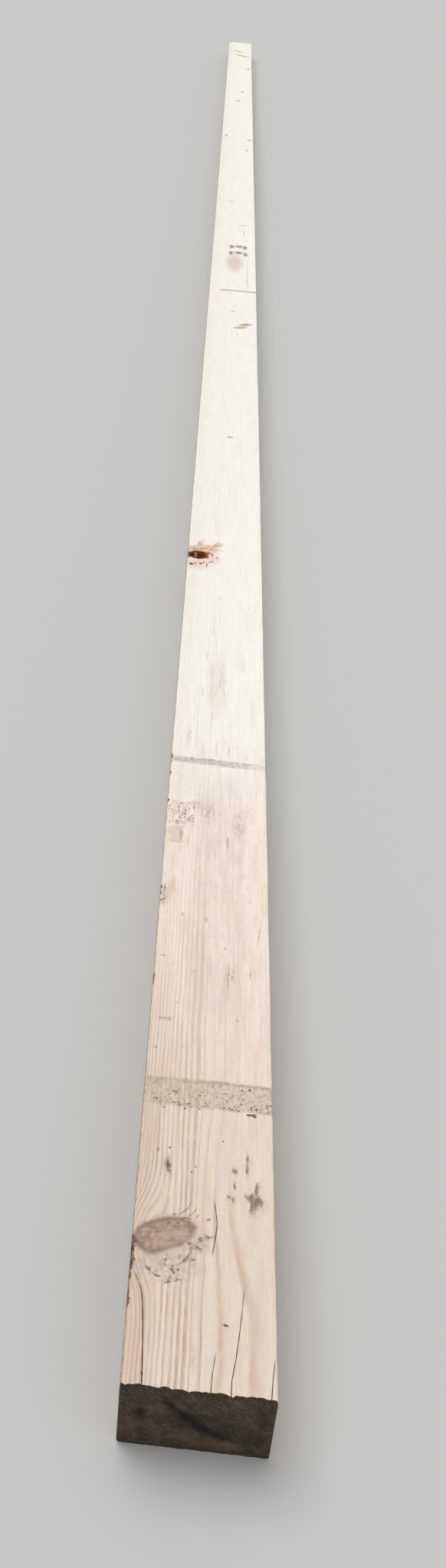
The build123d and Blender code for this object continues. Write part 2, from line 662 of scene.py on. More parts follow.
def make_growth_rings():
    """Yearly rings about the heart of the tree, swept aside where they pass the large knot."""
    w = new_group("Growth Rings", {"Place": None})
    x, y, z = w.split(w.place)
    # Beside the knot the grain swings over from the right
    swing = w.times(w.rise(x, -14, 56, 0, 24), w.fall(y, 30, 135))
    # At the left arris it bows out round the knot
    from_knot = w.math("DIVIDE", w.minus(y, 86), 21)
    bell = w.math("EXPONENT", w.times(from_knot, from_knot, -0.6))
    bow = w.times(bell, w.rise(x, -31, -16, 11, 0))
    # Above the knot it leans down into the branch
    lean = w.times(w.rise(x, -14, 4, 0, 5.5), w.fall(y, 98, 190))
    drift = w.sway(900, 5)
    wave = w.sway(70, 1.1, (0.6, 1, 0.6), (3, 1, 7))
    ripple = w.sway(14, 0.35, (0.4, 1, 0.4), (1, 9, 2))
    straight = w.plus(w.minus(x, swing), bow, lean, drift, wave, ripple)
    out = w.minus(straight, PITH_ACROSS)
    down = w.minus(z, PITH_UP)
    radius = w.math("SQRT", w.plus(w.times(out, out), w.times(down, down)))
    # Rings are broad near the heart and close towards the bark, good years wider than bad
    steady = w.math("EXPONENT", w.math("DIVIDE", w.minus(radius, 45), 52.8))
    luck = w.add("TexNoise", noise_dimensions="1D")
    w.join(w.math("DIVIDE", radius, 6.5), luck.inputs["W"])
    uneven = w.times(w.fit(luck.outputs[0], 0.6, -0.61), w.rise(radius, 48.5, 51))
    years = w.fit(steady, 16.6, w.plus(uneven, 0.76))
    part = w.math("FRACT", years)
    tone = w.add("TexWhiteNoise", noise_dimensions="1D")
    w.join(w.math("FLOOR", years), tone.inputs["W"])
    start = w.fit(tone.outputs["Value"], 0.35, 0.22)
    broad = w.rise(radius, 47.5, 49.5, 0.56, 0.72)
    start = w.fit(w.minus(broad, start), w.rise(radius, 51, 49), start)
    late = w.times(w.rise(part, start, 0.84), w.fall(part, 0.88, 1))
    patchy = w.rise(w.noise(14, 2, 0.5, (0.35, 3, 0.35), (2, 2, 6)), 0.3, 0.62, 0.5, 1)
    return w.give(Latewood=w.times(late, patchy), Ring_Tone=tone.outputs["Value"])


def make_fibres():
    """Fine streaks along the grain, and the pores between them."""
    w = new_group("Fibres", {"Place": None})
    streaks = w.noise(2.2, 3, 0.6, (0.5, 34, 0.5))
    return w.give(Streaks=streaks, Hairs=w.noise(0.5, 2, 0.7, (0.6, 24, 0.6), (5, 5, 5)))


def make_saw_marks():
    """Cross ridges left by the saw blade, stronger in patches."""
    w = new_group("Saw Marks", {"Place": None, "Spacing": 2.7, "Slant": 0.035})
    x, y, z = w.split(w.place)
    slanted = w.fit(w.plus(x, w.times(z, 0.6)), w.entry["Slant"], y)
    uneven = w.plus(slanted, w.sway(14, 2.6, (9, 1, 9)))
    uneven = w.plus(uneven, w.sway(9, 0.5, (1, 1, 1), (3, 8, 1)))
    turns = w.math("DIVIDE", uneven, w.entry["Spacing"])
    wave = w.math("SINE", w.times(turns, 2 * math.pi))
    broken = w.noise(3.2, 3, 0.6, (2.4, 0.9, 2.4), (8, 2, 1))
    ridges = w.times(w.rise(wave, -1, 1), w.rise(broken, 0.3, 0.66))
    patches = w.rise(w.noise(42, 2, 0.5, (0.5, 1, 0.5), (4, 4, 4)), 0.44, 0.64)
    return w.give(Ridges=ridges, Patches=patches)


def make_mark():
    """One soft-edged oval on a face. Each axis points along a half size and is one over it."""
    takes = {"Middle": (0, 0, 0), "Width Axis": (1, 0, 0), "Length Axis": (0, 1, 0), "Softness": 0.35}
    w = new_group("Mark", {"Place": None, **takes})
    away = w.vector("SUBTRACT", w.place, w.entry["Middle"])
    sideways = w.vector("DOT_PRODUCT", away, w.entry["Width Axis"])
    lengthwise = w.vector("DOT_PRODUCT", away, w.entry["Length Axis"])
    square = w.fit(lengthwise, lengthwise, w.times(sideways, sideways))
    inner = w.minus(1, w.entry["Softness"])
    outer = w.plus(1, w.entry["Softness"])
    reach = w.math("SQRT", square)
    return w.give(Mask=w.fall(reach, inner, outer), Reach=reach)


def make_cross_band():
    """A dirty strip across the face with ragged edges, where a bearer lay on it."""
    takes = {"Near Edge": 0, "Far Edge": 10, "Slant": 0.05, "Ragged": 1}
    w = new_group("Cross Band", {"Place": None, **takes})
    x, y = w.split(w.place)[:2]
    slanted = w.fit(x, w.entry["Slant"], y)
    torn = w.times(w.sway(1.6, 1, (0.7, 1.6, 1)), w.entry["Ragged"])
    line = w.plus(slanted, torn, w.times(w.sway(12, 1.5), w.entry["Ragged"]))
    over_near = w.minus(line, w.entry["Near Edge"])
    under_far = w.minus(w.entry["Far Edge"], line)
    band = w.times(w.rise(over_near, -1.6, 1.8), w.rise(under_far, -0.9, 1))
    far_line = w.fall(w.math("ABSOLUTE", w.minus(under_far, 0.9)), 0.3, 2.2)
    near_line = w.fall(w.math("ABSOLUTE", w.minus(over_near, 0.6)), 0.3, 2)
    return w.give(Band=band, Far_Line=far_line, Near_Line=near_line)


def make_specks():
    """Scattered small dark specks."""
    w = new_group("Specks", {"Place": None, "Spacing": 3, "Size": 0.2, "Share": 0.3})
    spread = w.combine(w.entry["Spacing"], w.entry["Spacing"], w.entry["Spacing"])
    spaced = w.vector("DIVIDE", w.place, spread)
    cells = w.feed(w.add("TexVoronoi", feature="F1"), {"Vector": spaced, "Scale": 1})
    lots = w.feed(w.add("SeparateColor"), (cells["Color"],))
    chosen = w.math("LESS_THAN", lots[0], w.entry["Share"])
    reach = w.times(w.entry["Size"], w.plus(lots[1], 0.4))
    dot = w.fall(w.math("DIVIDE", cells["Distance"], reach), 0.7, 1.2)
    return w.give(Mask=w.times(dot, chosen))


PLANK_PLACE = make_plank_place()
BRANCH = make_branch()
GROWTH_RINGS = make_growth_rings()
FIBRES = make_fibres()
SAW_MARKS = make_saw_marks()
MARK = make_mark()
CROSS_BAND = make_cross_band()
SPECKS = make_specks()

# An oval with only its middle and half sizes isn't turned, and is this soft
OVAL_TURN = 0
OVAL_SOFTNESS = 0.9

# How strong the relief is, and the slight sheen of sawn wood
BUMP_STRENGTH = 0.6
SHEEN = 0.22


class Painting(Wiring):
    """The wiring of one material, with the wood's colour as it is built up coat by coat."""

    def __init__(self, name):
        self.material = bpy.data.materials.new(name)
        self.material.use_nodes = True
        self.material.node_tree.nodes.clear()
        super().__init__(self.material.node_tree)
        self.place = self.use(PLANK_PLACE)["Place"]
        self.x, self.y, self.z = self.split(self.place)
        self.wood = None

    def find_top(self):
        """Marks out the top face, and the place moved about by noise, a little and a lot, so
        that the edges of marks on it are uneven."""
        self.on_top = self.rise(self.z, THICKNESS - 3.2, THICKNESS - 1.4)
        self.fine = self.ragged(1.7, 0.55)
        self.coarse = self.ragged(6, 2.4)

    def ragged(self, size, reach):
        moved_x = self.plus(self.x, self.sway(size, reach, (1, 1, 1), (2, 7, 5)))
        moved_y = self.plus(self.y, self.sway(size, 1.5 * reach, (1, 1.4, 1), (9, 3, 6)))
        return self.combine(moved_x, moved_y, self.z)

    def marks(self, spots, place=None):
        """The strongest of several ovals: each has its middle across and along, half width, half
        length, and maybe its turn in degrees and its softness."""
        total = None
        for spot in spots:
            row = (*spot, *(OVAL_TURN, OVAL_SOFTNESS)[len(spot) - 4 :])
            across, along, half_width, half_length, turn, softness = row
            cosine, sine = math.cos(math.radians(turn)), math.sin(math.radians(turn))
            mask = self.use(
                MARK,
                Place=place or self.place,
                Middle=(across, along, 0),
                Width_Axis=(cosine / half_width, sine / half_width, 0),
                Length_Axis=(-sine / half_length, cosine / half_length, 0),
                Softness=softness,
            )["Mask"]
            total = self.math("MAXIMUM", total, mask) if total else mask
        return total

    def crumbled(self, mask, size, eaten, low, high, stretch=(0.75, 1.6, 1)):
        """Breaks up soft marks with noise, so that they end in grains and streaks."""
        grains = self.noise(size, 4, 0.65, stretch, (7, 4, 2))
        return self.rise(self.plus(mask, self.fit(grains, eaten, -0.5 * eaten)), low, high)

    def lay(self, wood, mask, strength, tint):
        """Lays a tint over some wood through a mask."""
        return self.mix(self.times(mask, strength), wood, tint)

    def coat(self, mask, strength, tint):
        """Lays a tint over the wood so far."""
        self.wood = self.lay(self.wood, mask, strength, tint)

    def coat_top(self, mask, strength, tint):
        """Lays a tint over the wood so far, on the top face alone."""
        self.coat(self.times(mask, self.on_top), strength, tint)

    def coat_grains(self, mask, grain, *tints):
        """Lays tints through a mask, each where the grain goes from a low to a high value."""
        for low, high, strength, tint in tints:
            self.coat(self.times(mask, self.rise(grain, low, high)), strength, tint)

    def finish(self, rough, height, depth):
        """Gives the material its one surface shader with a bump in it."""
        bump = self.add("Bump")
        self.feed(bump, {"Strength": BUMP_STRENGTH, "Distance": depth * MM, "Height": height})
        values = {"Base Color": self.wood, "Roughness": rough, "Specular IOR Level": SHEEN}
        surface = self.feed(self.add("BsdfPrincipled"), {**values, "Normal": bump.outputs[0]})
        self.feed(self.add("OutputMaterial"), (surface[0],))
        return self.material


def dark_split_lines(w):
    """A dark line in and along every split: one long thin oval for each step of its course."""
    ovals = []
    for course, width, _ in SPLITS.values():
        for (x_from, y_from), (x_to, y_to) in zip(course, course[1:]):
            half_length = math.hypot(x_to - x_from, y_to - y_from) / 2
            turn = -math.degrees(math.atan2(x_to - x_from, y_to - y_from))
            middle = ((x_from + x_to) / 2, (y_from + y_to) / 2)
            ovals.append((*middle, 0.4 * width + 0.12, half_length + 0.6, turn, 0.6))
    return w.marks(ovals)


# The wood

KNOT = {
    "Heart": (-19.2, 89.3, 47),
    "Lean": (-0.739, -0.269, -0.618),
    "Radius": 10.4,
    "Taper": 0.06,
    "Roughness": 0.7,
}
DEAD_KNOT = {
    "Heart": (-26, 925.5, 47),
    "Lean": (-0.259, 0, -0.966),
    "Radius": 9.9,
    "Taper": -0.02,
    "Roughness": 1.1,
}
# The blunt left end of the large knot, where the branch was bruised
KNOT_BRUISE = {
    "Middle": (-27.6, 85.2, 0),
    "Width_Axis": (0.112, 0.034, 0),
    "Length_Axis": (-0.028, 0.09, 0),
}

# Every row below is an oval: its middle across and along the plank, half width, half length,
# and where they differ from the usual, its turn in degrees and its softness

# Small near-black specks, pitch pockets and chips
DARK_SPECKS = (
    (12.1, 35.8, 1.4, 0.72, -18, 0.35), (-27.6, 7, 0.45, 1.3, 10, 0.4),
    (9.2, 154, 0.5, 0.55, 0, 0.3), (-20.5, 147, 0.6, 0.8, -30, 0.4), (19.8, 194, 0.6, 0.75, 0, 0.3),
    (24.2, 194.4, 0.95, 0.9, 10, 0.3), (-13.1, 177, 0.75, 0.65, 0, 0.3),
    (-4.6, 177, 0.5, 0.6, 0, 0.4), (-25.3, 177, 0.5, 0.65, 0, 0.4),
    (-16.4, 179.5, 0.5, 0.7, 0, 0.4), (-4.7, 187.6, 0.45, 0.95, 0, 0.4),
    (9.3, 179.3, 0.65, 0.6, 0, 0.4), (13.8, 178.6, 0.75, 0.55, 0, 0.4),
    (18, 177.8, 0.4, 0.6, 0, 0.5), (25.3, 181, 0.7, 0.45, -20, 0.4), (27, 181.8, 0.5, 0.5, 0, 0.4),
    (-11, 180.8, 1.1, 0.35, 8, 0.5), (-36.7, 487, 0.8, 1.6, 0, 0.3),
)

# Torn ground under and beside the large knot, greyed partly with painted shade, and where its
# crevices are deepest, for their painted shade and highlights
KNOT_SHADE = (
    (-17, 71, 14, 9, -14, 0.6), (-3, 82, 7, 6, 24, 0.7), (-26, 69, 8, 6, 0, 0.7),
)
TORN_EDGE = (
    (-17.4, 60.4, 3, 4, -48, 0.8), (-12, 64, 2.6, 4.4, 20), (-9.6, 74, 3, 5.5, -34, 0.8),
    (-4.2, 80.4, 3, 5, -50, 0.8), (1, 87, 2.4, 4.4, -70, 0.8), (-25.4, 64.4, 2.4, 5.4, 66),
    (-19.6, 71.6, 2.6, 3.6),
)

# Dirt caught in the torn ground
TORN_DIRT = (
    (-17.2, 60, 1.3, 2.5, -48, 0.8), (-13, 61.4, 0.8, 1.9, 86), (-12.7, 67.2, 0.9, 1.1, 0, 0.8),
    (-10.6, 72.6, 1.2, 3.2, -24), (-8.2, 76, 0.8, 1.8, -60), (-5.7, 74, 1.2, 1.4, 0, 0.8),
    (-6.7, 79, 0.7, 2.6, 4), (-7.2, 83, 0.8, 1.9, 60), (-2.8, 81.8, 1, 2.3, 66, 0.7),
    (-1.4, 86.4, 0.9, 2, 84), (2.6, 87.2, 1.3, 2.4, -76, 0.8), (-28.2, 65.8, 0.8, 1.9, 34),
    (-24.2, 63.6, 0.9, 3.2, 74), (-19.4, 71.4, 1.1, 2.2), (-15.6, 68, 0.8, 1.6, -30),
    (2.2, 98.6, 0.9, 2, -60),
)

# Pitch dots and dark fibres on and above the large knot, its pale heart and its fine checks
KNOT_TICKS = (
    (-15.9, 101.3, 1, 0.7, 5, 0.6), (-13.9, 95.9, 1.1, 0.7, 10, 0.6),
    (-18.9, 95.6, 0.5, 1, -10, 0.8), (-9.2, 99.4, 2.2, 0.8, -14), (-24.3, 89.4, 0.9, 0.5, -20, 0.8),
    (-12.4, 102.6, 0.35, 2.4, -40), (-10.2, 104.6, 0.35, 2.8, -34), (-8.6, 107, 0.3, 4, -20),
    (-7.2, 101.8, 0.35, 2.4, -40), (-5.4, 104.4, 0.35, 2.8, -30), (-3.6, 101, 0.35, 2, -36),
    (-11.6, 99, 0.6, 1.4, -60),
)
KNOT_GLOW = ((-20.5, 88, 5.5, 1.4, 6), (-12.5, 88, 3.4, 3.2))
KNOT_CHECKS = ((-28.6, 88.8, 5, 0.45, 2), (-20, 88, 4, 0.4, 10), (-23.4, 80.6, 0.5, 4, 4))

# Stains round the dead knot
DEAD_KNOT_FAN = (
    (-26, 935, 12, 5, 0, 0.6), (-28, 940, 10, 8, 0, 0.6), (-16, 942, 10, 8, -24, 0.6),
    (-9, 949, 4, 8, -26, 0.8), (-25.5, 951, 2.4, 9, -8),
)
DEAD_KNOT_BLUSH = (
    (-26, 906, 12, 13, 0, 0.7), (-13, 918, 8, 12, 0, 0.8),
)
DEAD_KNOT_TAIL = (
    (-17.6, 930.5, 4.4, 2.6, 8, 0.5), (-18.6, 926, 2.6, 3.4, 0, 0.6),
    (-35.6, 925, 3.4, 7.2, 0, 0.3),
)
DEAD_KNOT_SPOTS = (
    (-33, 903, 2.8, 3, 0, 0.7), (-29, 905.6, 1.6, 1.6, 0, 0.8), (-23.8, 905.6, 1.8, 2.4, 10, 0.7),
    (-21, 908.4, 1.3, 1.8, -20, 0.7), (-17.4, 919.6, 1.5, 2.2, -10, 0.8),
    (-12.8, 927, 1.2, 3.4, -8, 0.8), (-12.6, 911.4, 1.3, 2, -14, 0.8),
    (-15, 909.4, 1, 1.6, 10, 0.8), (-7.6, 921.2, 0.9, 1.7, 10, 0.6), (-17.6, 903, 0.6, 5),
)
DEAD_KNOT_CORE = ((-30.5, 922.5, 4.2, 4.2, 0, 0.5),)

# Rubbed-in dirt
GREY_STAINS = (
    (16, 133, 1.9, 2.4, 0, 0.7), (15.9, 122.6, 0.5, 2.6, 4), (12.9, 115.2, 1.1, 1.6, 20),
    (14.9, 113.2, 0.7, 2.2, -4), (23, 142.6, 0.8, 2.6, 4), (22.4, 133.4, 0.7, 2.4),
    (-20.8, 135, 1, 4.6, 2), (-20.2, 130.8, 2, 1.2, -6), (-5.7, 134.6, 0.5, 1),
    (-7.6, 130.6, 0.6, 1), (-26.9, 145, 0.7, 1.2), (-19.6, 190, 1.9, 0.9, -6, 0.7),
    (-19.4, 181.2, 2, 0.35, 0, 0.7), (-32, 224.4, 0.5, 1, 20, 0.8), (2, 1267, 4.5, 4),
    (7.8, 1760, 0.9, 3, 0, 0.7), (1.2, 1808, 4.4, 2.6, 4, 0.8), (7.8, 1690, 1, 5, 0, 0.8),
    (15, 2378, 14, 2.2, 1), (17, 2325, 0.8, 24, 0, 0.8), (-8, 2578, 7.5, 3), (22, 3128, 3, 12),
    (28, 3260, 7, 9), (-27, 3300, 4, 14), (0.5, 3835, 7, 12), (10, 3995, 4, 16), (27, 4465, 5, 20),
)

# Dirt rubbed into the fibres, in streaks along the grain
STREAKED_STAINS = (
    (26.6, 112.6, 3, 8.6, 0, 0.7), (24, 114.4, 2.4, 3.4, 0, 0.8), (29.6, 113.4, 2.4, 4.8, 4, 0.8),
    (27.6, 119.8, 1.8, 5.4, -6), (-20.6, 135, 1.6, 5.6, 2),
)

# Faint, wide smudges round the darker stains
SMUDGES = (
    (27.4, 114, 5, 10, 0, 0.7), (16.2, 133, 2.6, 3.2, 0, 0.7), (14, 114, 3.2, 3.4, 0, 0.8),
    (-21, 134, 2.8, 7.5, 0, 0.8), (23, 138, 1.6, 7), (-19.4, 190, 3.6, 2, 0, 0.8),
    (-28, 250.2, 4, 1.6, 0, 0.8), (12, 292, 3, 8), (-34.5, 374, 2.4, 9), (-6, 476, 6, 12),
    (-14, 483, 4, 5), (17, 462, 4, 14), (-3.4, 16, 1.3, 6),
)

# Soft brown traces of what rubbed across the face
SOFT_TRACES = (
    (-31, 250, 0.8, 1.7, 4, 0.8), (-28, 250.4, 2.9, 0.6, 2), (-25, 249.8, 0.9, 1.8, -4, 0.8),
    (-33, 224.6, 0.8, 1.2, 20), (16.6, 251.6, 0.9, 1.3), (22.8, 137.6, 0.8, 5.4, 2),
    (15.8, 123, 0.8, 3.6, 2), (8.2, 319.6, 1.2, 0.8), (24.8, 295, 0.6, 4.4, -6),
    (30.6, 335, 0.5, 12, -6), (-32, 309, 2.8, 0.8), (24.5, 369.7, 1, 0.6), (10.6, 292, 0.5, 15),
    (8.4, 437, 1, 9), (-20.1, 436, 0.5, 8), (-21.2, 352, 0.8, 2.4), (-4.8, 348, 0.7, 3.4),
    (-25.6, 443, 1.2, 7.5), (-29, 434.2, 4.4, 0.9, 2), (-34.6, 372, 1.5, 14),
    (13.5, 292, 1, 0.8, 10, 0.8), (-11.5, 295.3, 0.6, 0.9, 0, 0.8), (-3.4, 390.6, 0.8, 0.9, 0, 0.8),
    (-11.1, 404.6, 0.9, 1, -20, 0.8), (-21.6, 264.6, 0.6, 1, 0, 0.8),
    (-30.9, 434.4, 1.1, 1.2, 0, 0.7), (-18.2, 600, 0.5, 42, 0, 0.8), (-12.8, 561, 0.6, 13, 0, 0.8),
    (-1.7, 562, 0.9, 14, 0, 0.8), (8.2, 560, 0.7, 8), (-15.4, 652, 0.8, 8, 0, 0.7),
    (-0.7, 667, 0.9, 10, 0, 0.8), (-6.3, 612, 0.8, 8, 0, 0.8), (-12.8, 715, 1, 9),
    (-8.2, 762, 1.2, 5), (24.3, 815, 1, 5, 0, 0.8), (-3.2, 832, 1.2, 5, 0, 0.8),
    (-5.4, 742, 0.7, 26, 1), (-2.6, 796, 0.6, 30, -1),
)

# Warm brown: bruised bark edge, pitch and old knots
BROWN_MARKS = (
    (-37, 286, 0.5, 6, 0, 0.6), (-36.4, 366.4, 0.9, 1.4, -30, 0.8),
    (-34.4, 367.4, 0.9, 0.6, 20, 0.8), (-34.2, 380, 0.5, 0.8, 0, 0.8),
    (-36.8, 380.5, 0.7, 2, 0, 0.8), (-37, 374, 0.5, 2.4), (-36.9, 546, 0.9, 7, 0, 0.6),
    (-37, 525, 0.8, 2.4, 0, 0.5),
)

# Tan and orange smears of pitch
TAN_SMEARS = (
    (-33.8, 49, 1.9, 9, 8, 0.6), (-35.8, 58, 1.4, 6, 0, 0.7), (-29, 384, 2.4, 10, 0, 0.8),
    (-31, 376, 1.4, 14), (-26, 446, 2, 9, 0, 0.8), (-24.4, 583, 1.4, 14, 0, 0.8),
    (-26, 428, 1.2, 6),
)

# Small warm flushes in the white wood
PINK_FLUSHES = (
    (1.2, 112, 6, 5, 0, 0.8), (20, 702, 2.4, 16, 0, 0.8), (24, 265, 3, 14), (5, 362, 1.4, 6),
    (26, 470, 3.4, 8), (-25, 570, 2.4, 16), (-31, 415, 2.4, 14),
)

# A sliver of bark beside the first strip, the painted shadows of two splinters, and pale splinters
# with a painted highlight on the upper edge of the bark sliver
RED_CHIP = ((23.8, 174.9, 1.5, 1, 0, 0.4), (26, 175, 1.5, 1, 0, 0.4), (27, 174, 1.1, 1, 0, 0.5))
CHIP_SHADE = ((10, 190.7, 1.7, 0.35, 12, 0.4), (-0.6, 180.4, 1.2, 0.3, 0, 0.6))
CHIP_PALE_AND_HIGHLIGHT = ((25, 176.6, 2.4, 0.4, -2, 0.4), (9.8, 191.8, 1.6, 0.35, 12, 0.4), (-1, 524, 14, 1))

# Faded marks of the far part
FAR_KNOT = ((20, 1742, 10.5, 6, 30, 0.5), (12, 1726, 10, 5, 20, 0.6))
FAR_SMEAR = ((2, 2100, 13, 52, 0, 0.6), (23.5, 2030, 0.9, 90, 0, 0.8))
FAR_BLOTS = (
    (-5, 2166, 3.4, 12, 0, 0.7), (8, 2172, 7, 8, 10, 0.8), (20, 2164, 3.4, 13, 0, 0.6),
    (-4, 2212, 4, 11, 0, 0.7), (9, 2216, 7, 8, 0, 0.8), (19, 2210, 3.4, 12, 0, 0.8),
)
FAR_TAIL = ((-5.7, 4863, 7, 26, 33, 0.7), (6.9, 4758, 8, 37, 35, 0.7))

# Marks on the near end, with places across and up
END_STREAK = (
    (-13, 35, 2, 6, 38, 0.8), (-5.5, 27.5, 3.2, 7.5, 42, 0.8), (2, 20.5, 3.2, 7.5, 50, 0.8),
    (11, 15, 2.6, 7, 62), (-27, 27.5, 2.2, 2.8, 10, 0.8),
)
END_SHADOWS = (
    (-2, 23, 9, 12, 45, 0.8), (27.5, 15, 6, 7.5, 0, 0.8), (16, 20, 5, 6, 40), (32, 30, 3, 7),
    (-27, 26, 4, 5),
)
END_PALE_PATCHES = (
    (-3, 12, 5, 5.5, 0, 0.8), (-22.3, 27, 0.7, 3.4, -18, 0.7), (18, 7, 6, 3), (-7, 33, 2.4, 4, 30),
    (19, 42, 2, 1.6),
)
END_WARM_PATCHES = (
    (-33, 15, 3, 5), (30, 27, 4, 5), (-18, 30, 2.4, 3), (6, 7, 5, 3),
)


def plain_wood(w, rings, fibres, saw):
    """Sound wood with its rings, streaks and saw marks, paler away from the handled end, partly as
    painted light for the far part lying in brighter light. Gives the height of the saw marks."""
    x, y = w.x, w.y
    # Paler towards the far part: partly cleaner wood, and partly painted light where the far part lay
    # in brighter light
    pale = w.rise(y, 60, 610)
    early = w.mix(w.rise(y, 60, 420), (237, 220, 204), (255, 241, 229))
    early = w.mix(w.rise(y, 430, 610), early, (255, 254, 245))
    late = w.mix(pale, (192, 164, 145), (246, 234, 219))
    pink = w.mix(pale, (212, 181, 163), (250, 236, 224))
    # The broad rings of the right side are pink near the end, and fade out beyond the knot
    right_side = w.times(w.rise(x, 3, 11), 0.8)
    pinkness = w.math("MAXIMUM", w.rise(rings["Ring Tone"], 0.4, 0.75), right_side)
    toned_late = w.mix(pinkness, late, pink)
    fading = w.times(w.rise(x, -5, 4), w.rise(y, 96, 130), -0.68)
    strength = w.times(rings["Latewood"], w.rise(y, 150, 520, 0.92, 0.42), w.plus(fading, 1))
    w.wood = w.mix(strength, early, toned_late)
    streaky = w.rise(fibres["Streaks"], 0.38, 0.72)
    w.coat(streaky, w.rise(y, 200, 700, 0.26, 0.12), (206, 182, 160))
    tinted = w.noise(4.2, 3, 0.6, (0.55, 2.6, 0.55), (2, 8, 8))
    w.coat(w.rise(tinted, 0.52, 0.7), w.rise(y, 300, 700, 0.4, 0.2), (244, 227, 196))
    w.coat(w.rise(tinted, 0.48, 0.3), w.rise(y, 300, 700, 0.4, 0.16), (226, 202, 192))
    dusty = w.noise(1.1, 3, 0.7, (0.9, 1.4, 0.9), (6, 1, 3))
    w.coat(w.rise(dusty, 0.5, 0.72), w.rise(y, 300, 800, 0.34, 0.12), (204, 186, 170))
    blotches = w.rise(w.noise(9, 3, 0.6, (0.6, 5, 0.6), (6, 6, 6)), 0.46, 0.7)
    w.coat(blotches, w.rise(y, 250, 700, 0.42, 0.12), (230, 198, 180))
    ridges = w.times(saw["Ridges"], w.fit(saw["Patches"], 0.9, 0.1))
    handled = w.times(w.rise(x, -18, -34), w.rise(y, 130, 330, 1, 0.2))
    w.coat(w.times(handled, w.rise(tinted, 0.36, 0.56, 0.5, 1)), 0.5, (204, 178, 158))
    # The left face and its arris are painted darker brown, as painted shade of the face turned from
    # the light
    left_face_painted_shade = w.times(w.rise(x, -36.8, -37.4), w.rise(tinted, 0.3, 0.6, 0.6, 1))
    w.coat(left_face_painted_shade, 0.6, (142, 116, 96))
    marked = w.times(w.rise(y, 250, 400, 0.04, 0.11), w.rise(y, 520, 640, 1, 0.25))
    w.coat(ridges, marked, (164, 142, 126))
    drawn_out = w.vector("MULTIPLY", w.place, (1, 0.3, 1))
    pricks = w.use(SPECKS, Place=drawn_out, Spacing=2.2, Size=0.07, Share=0.25)["Mask"]
    w.coat(pricks, w.rise(y, 300, 700, 0.26, 0.1), (140, 116, 98))
    return ridges


def greyed_middle(w):
    """The middle of the face has greyed in fine brown streaks."""
    x, y = w.split(w.coarse)[:2]
    streaks = w.rise(w.noise(1.6, 3, 0.65, (0.7, 14, 1), (4, 0, 9)), 0.4, 0.62, 0.35, 1)
    near = w.times(w.within(y, 215, 545, 70), w.within(x, -19, 24, 7))
    w.coat_top(w.times(near, streaks), 0.27, (202, 183, 172))
    far = w.times(w.within(y, 600, 735, 45), w.within(x, -13, 7, 5))
    w.coat_top(w.times(far, streaks), 0.38, (208, 187, 156))


def dirty_bands(w):
    """Two strips where bearers lay across the plank, with the grit they pressed in."""
    first = w.use(CROSS_BAND, Near_Edge=178.2, Far_Edge=199.4, Slant=0.055, Ragged=1)
    band = w.times(first["Band"], w.on_top)
    dust = w.mix(w.rise(w.x, -8, 12), (197, 184, 160), (206, 181, 165))
    scrubbed = w.rise(w.noise(3, 4, 0.7, (0.6, 1.6, 1), (6, 1, 8)), 0.3, 0.62, 0.35, 1)
    w.coat(w.times(band, scrubbed), 0.72, dust)
    # Inside the strip the dirt is trodden into every fibre, with painted highlights on the fibres
    # between
    trodden_dirt_and_highlights = w.noise(2.3, 4, 0.68, (0.8, 1.25, 1), (4, 6, 2))
    w.coat_grains(band, trodden_dirt_and_highlights, (0.5, 0.68, 0.62, (154, 139, 120)), (0.46, 0.34, 0.62, (238, 223, 203)))
    grit = w.use(SPECKS, Place=w.fine, Spacing=2, Size=0.42, Share=0.6)["Mask"]
    low_side = w.rise(w.y, 179, 193, 1, 0.25)
    clusters = w.rise(w.noise(4.5, 3, 0.6, (1, 1, 1), (9, 9, 0)), 0.42, 0.58)
    w.coat(w.times(w.times(grit, band), w.times(low_side, clusters)), 0.78, (88, 72, 60))
    faded = w.rise(w.noise(7, 3, 0.6, (1, 1, 1), (1, 6, 4)), 0.34, 0.6, 0.2, 1)
    w.coat(w.times(first["Far Line"], w.on_top, faded), 0.6, (184, 154, 132))
    w.coat(w.times(first["Near Line"], w.on_top, faded), 0.42, (160, 138, 118))
    second = w.use(CROSS_BAND, Near_Edge=538.6, Far_Edge=546.6, Slant=0.065, Ragged=0.8)
    reach = w.times(w.rise(w.x, -37.4, -34), w.rise(w.x, 21, 27, 1, 0.4))
    band = w.times(second["Band"], w.on_top, reach)
    patchy = w.rise(w.noise(5, 3, 0.6, (1.6, 1, 1)), 0.25, 0.6, 0.5, 1)
    w.coat(w.times(band, patchy), 0.5, (180, 163, 148))
    flecks = w.rise(w.noise(1.7, 4, 0.66, (1.4, 0.9, 1), (3, 1, 4)), 0.46, 0.66)
    w.coat(w.times(band, flecks), 0.55, (150, 132, 118))
    w.coat(w.times(second["Far Line"], w.on_top, reach, flecks), 0.4, (140, 120, 104))


